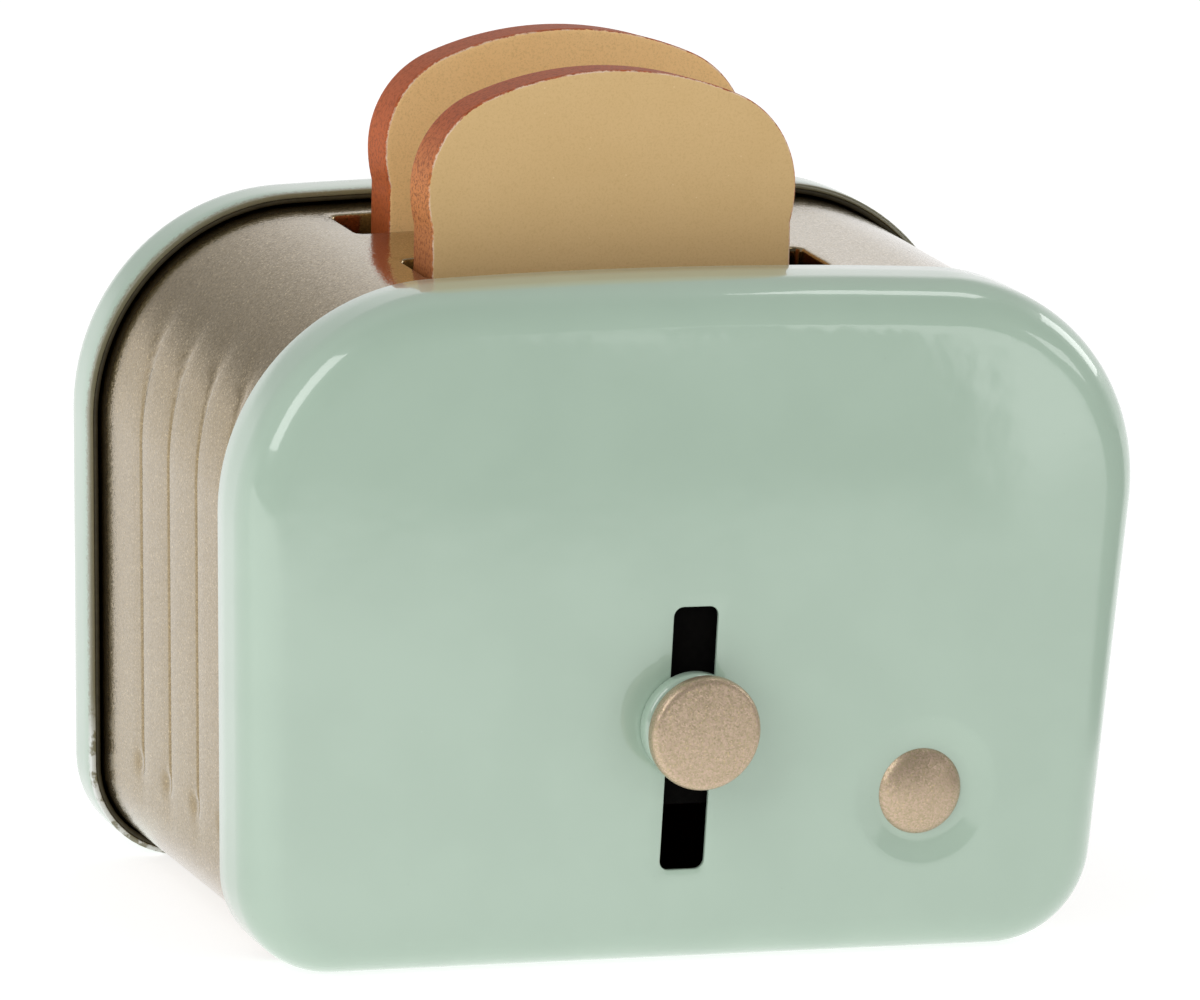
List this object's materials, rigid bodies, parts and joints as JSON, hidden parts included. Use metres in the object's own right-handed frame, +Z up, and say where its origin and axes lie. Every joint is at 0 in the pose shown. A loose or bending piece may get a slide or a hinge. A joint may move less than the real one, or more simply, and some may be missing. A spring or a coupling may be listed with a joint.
{
  "type": "toy toaster",
  "caption": "Small pressed-metal play toaster with rounded front and rear panels, a band round the body, a sliding lever that raises the bread tray, and lift-out play bread slices.",
  "frame": {"origin": "centre of the footprint of the whole object, on the surface it stands on", "axes": "+X to the right seen from the front, +Y towards the rear panel, so the front panel faces -Y, and +Z up"},
  "size_m": [0.0684, 0.0458, 0.063],
  "materials": {
    "mint_enamel": "glossy mint green enamel",
    "champagne_paint": "satin champagne paint with fine metal flake",
    "dark_paint": "matt black paint",
    "plain_steel": "plain cold-rolled sheet and wire",
    "bread_board": "matt painted fibreboard, toast-brown crust and beige crumb"
  },
  "bodies": {
    "body": {"front_panel": "mint_enamel", "rear_panel": "mint_enamel", "body_band": "champagne_paint", "seam_strap": "plain_steel", "seam_rivets": "plain_steel", "front_clips": "plain_steel", "rear_clips": "plain_steel", "rail_right": "plain_steel", "rail_left": "plain_steel", "button_stud": "champagne_paint", "button_washer": "plain_steel"},
    "carriage": {"slider_plate": "dark_paint", "knob_cap": "champagne_paint", "knob_collar": "mint_enamel", "knob_rivet": "plain_steel", "spring_washer": "plain_steel", "tail_washer": "plain_steel", "carriage_bracket": "plain_steel", "carriage_tray": "dark_paint", "tray_rivets": "plain_steel"},
    "bread_front": {"bread_slice_front": "bread_board"},
    "bread_rear": {"bread_slice_rear": "bread_board"}
  },
  "joints": [
    {"name": "lever_slide", "type": "slide", "parent": "body", "child": "carriage", "axis": [0, 0, 1], "range_m": [-0.0091, 0.0068]},
    {"name": "front_slice_lift", "type": "slide", "parent": "carriage", "child": "bread_front", "axis": [0, 0.1045, 0.9945], "range_m": [0, 0.028]},
    {"name": "rear_slice_lift", "type": "slide", "parent": "carriage", "child": "bread_rear", "axis": [0, 0.1045, 0.9945], "range_m": [0, 0.028]}
  ]
}
